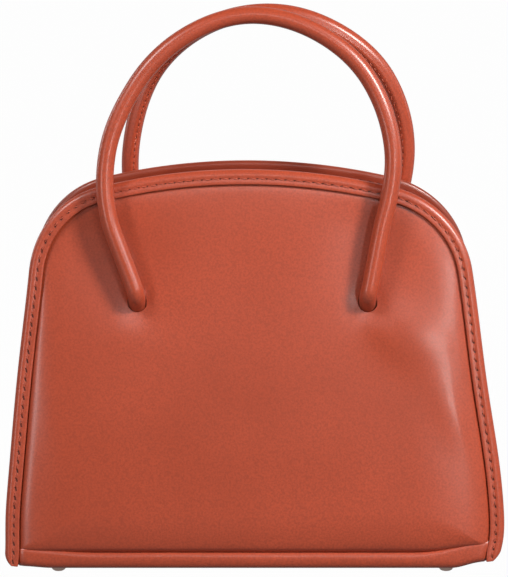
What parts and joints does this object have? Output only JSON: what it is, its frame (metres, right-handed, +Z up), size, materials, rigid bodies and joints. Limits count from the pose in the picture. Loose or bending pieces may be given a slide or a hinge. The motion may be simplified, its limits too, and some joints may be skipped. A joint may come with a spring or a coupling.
{
  "type": "top handle bag",
  "caption": "Small domed leather bag with bound rims, a recessed top zip, metal feet and rolled handles that pass through slots in its panels and tilt outward.",
  "frame": {"origin": "floor level under the middle of the bag: the middle of its bounding box in X and Y, at the undersides of the feet", "axes": "+Z up; -Y is the front panel; +X is the right-hand side as seen from the front"},
  "size_m": [0.263, 0.1014, 0.2958],
  "materials": {
    "shell_leather": "smooth semi-matte",
    "gusset_leather": "smooth semi-matte",
    "handle_leather": "smooth, slight sheen",
    "lining_cloth": "matte woven",
    "base_board": "matte fibreboard",
    "stiffener": "matte leatherboard",
    "handle_filler": "cotton cord",
    "metal": "polished",
    "zip_tape": "matte woven"
  },
  "bodies": {
    "bag": {"front_binding": "shell_leather", "back_binding": "shell_leather", "front_panel": "shell_leather", "back_panel": "shell_leather", "front_stiffener": "stiffener", "back_stiffener": "stiffener", "front_lining": "lining_cloth", "back_lining": "lining_cloth", "left_gusset": "gusset_leather", "right_gusset": "gusset_leather", "left_gusset_lining": "lining_cloth", "right_gusset_lining": "lining_cloth", "base_panel": "shell_leather", "base_board": "base_board", "base_lining": "lining_cloth", "feet": "metal", "foot_washers": "metal", "front_zip_strip": "gusset_leather", "back_zip_strip": "gusset_leather", "front_zip_lining": "lining_cloth", "back_zip_lining": "lining_cloth", "front_zip_tape": "zip_tape", "back_zip_tape": "zip_tape", "front_zip_teeth": "metal", "back_zip_teeth": "metal", "zip_stops": "metal"},
    "front_handle": {"front_handle_cover": "handle_leather", "front_handle_core": "handle_filler", "front_handle_discs": "metal"},
    "back_handle": {"back_handle_cover": "handle_leather", "back_handle_core": "handle_filler", "back_handle_discs": "metal"},
    "zip_slider": {"zip_slider_top": "metal", "zip_slider_bottom": "metal"},
    "zip_pull": {"zip_pull_link": "metal", "zip_pull_tab": "shell_leather"}
  },
  "joints": [
    {"name": "front_handle_tilt", "type": "hinge", "parent": "bag", "child": "front_handle", "pos_m": [0, -0.02731, 0.1406], "axis": [1, 0, 0], "range_deg": [0, 45]},
    {"name": "back_handle_tilt", "type": "hinge", "parent": "bag", "child": "back_handle", "pos_m": [0, 0.02731, 0.1406], "axis": [-1, 0, 0], "range_deg": [0, 45]},
    {"name": "zip_run", "type": "hinge", "parent": "bag", "child": "zip_slider", "pos_m": [0, 0, -0.1168], "axis": [0, 1, 0], "range_deg": [0, 24.26]},
    {"name": "pull_swing", "type": "hinge", "parent": "zip_slider", "child": "zip_pull", "pos_m": [-0.06767, 0, 0.19804], "axis": [0, -1, 0], "range_deg": [0, 160]}
  ]
}
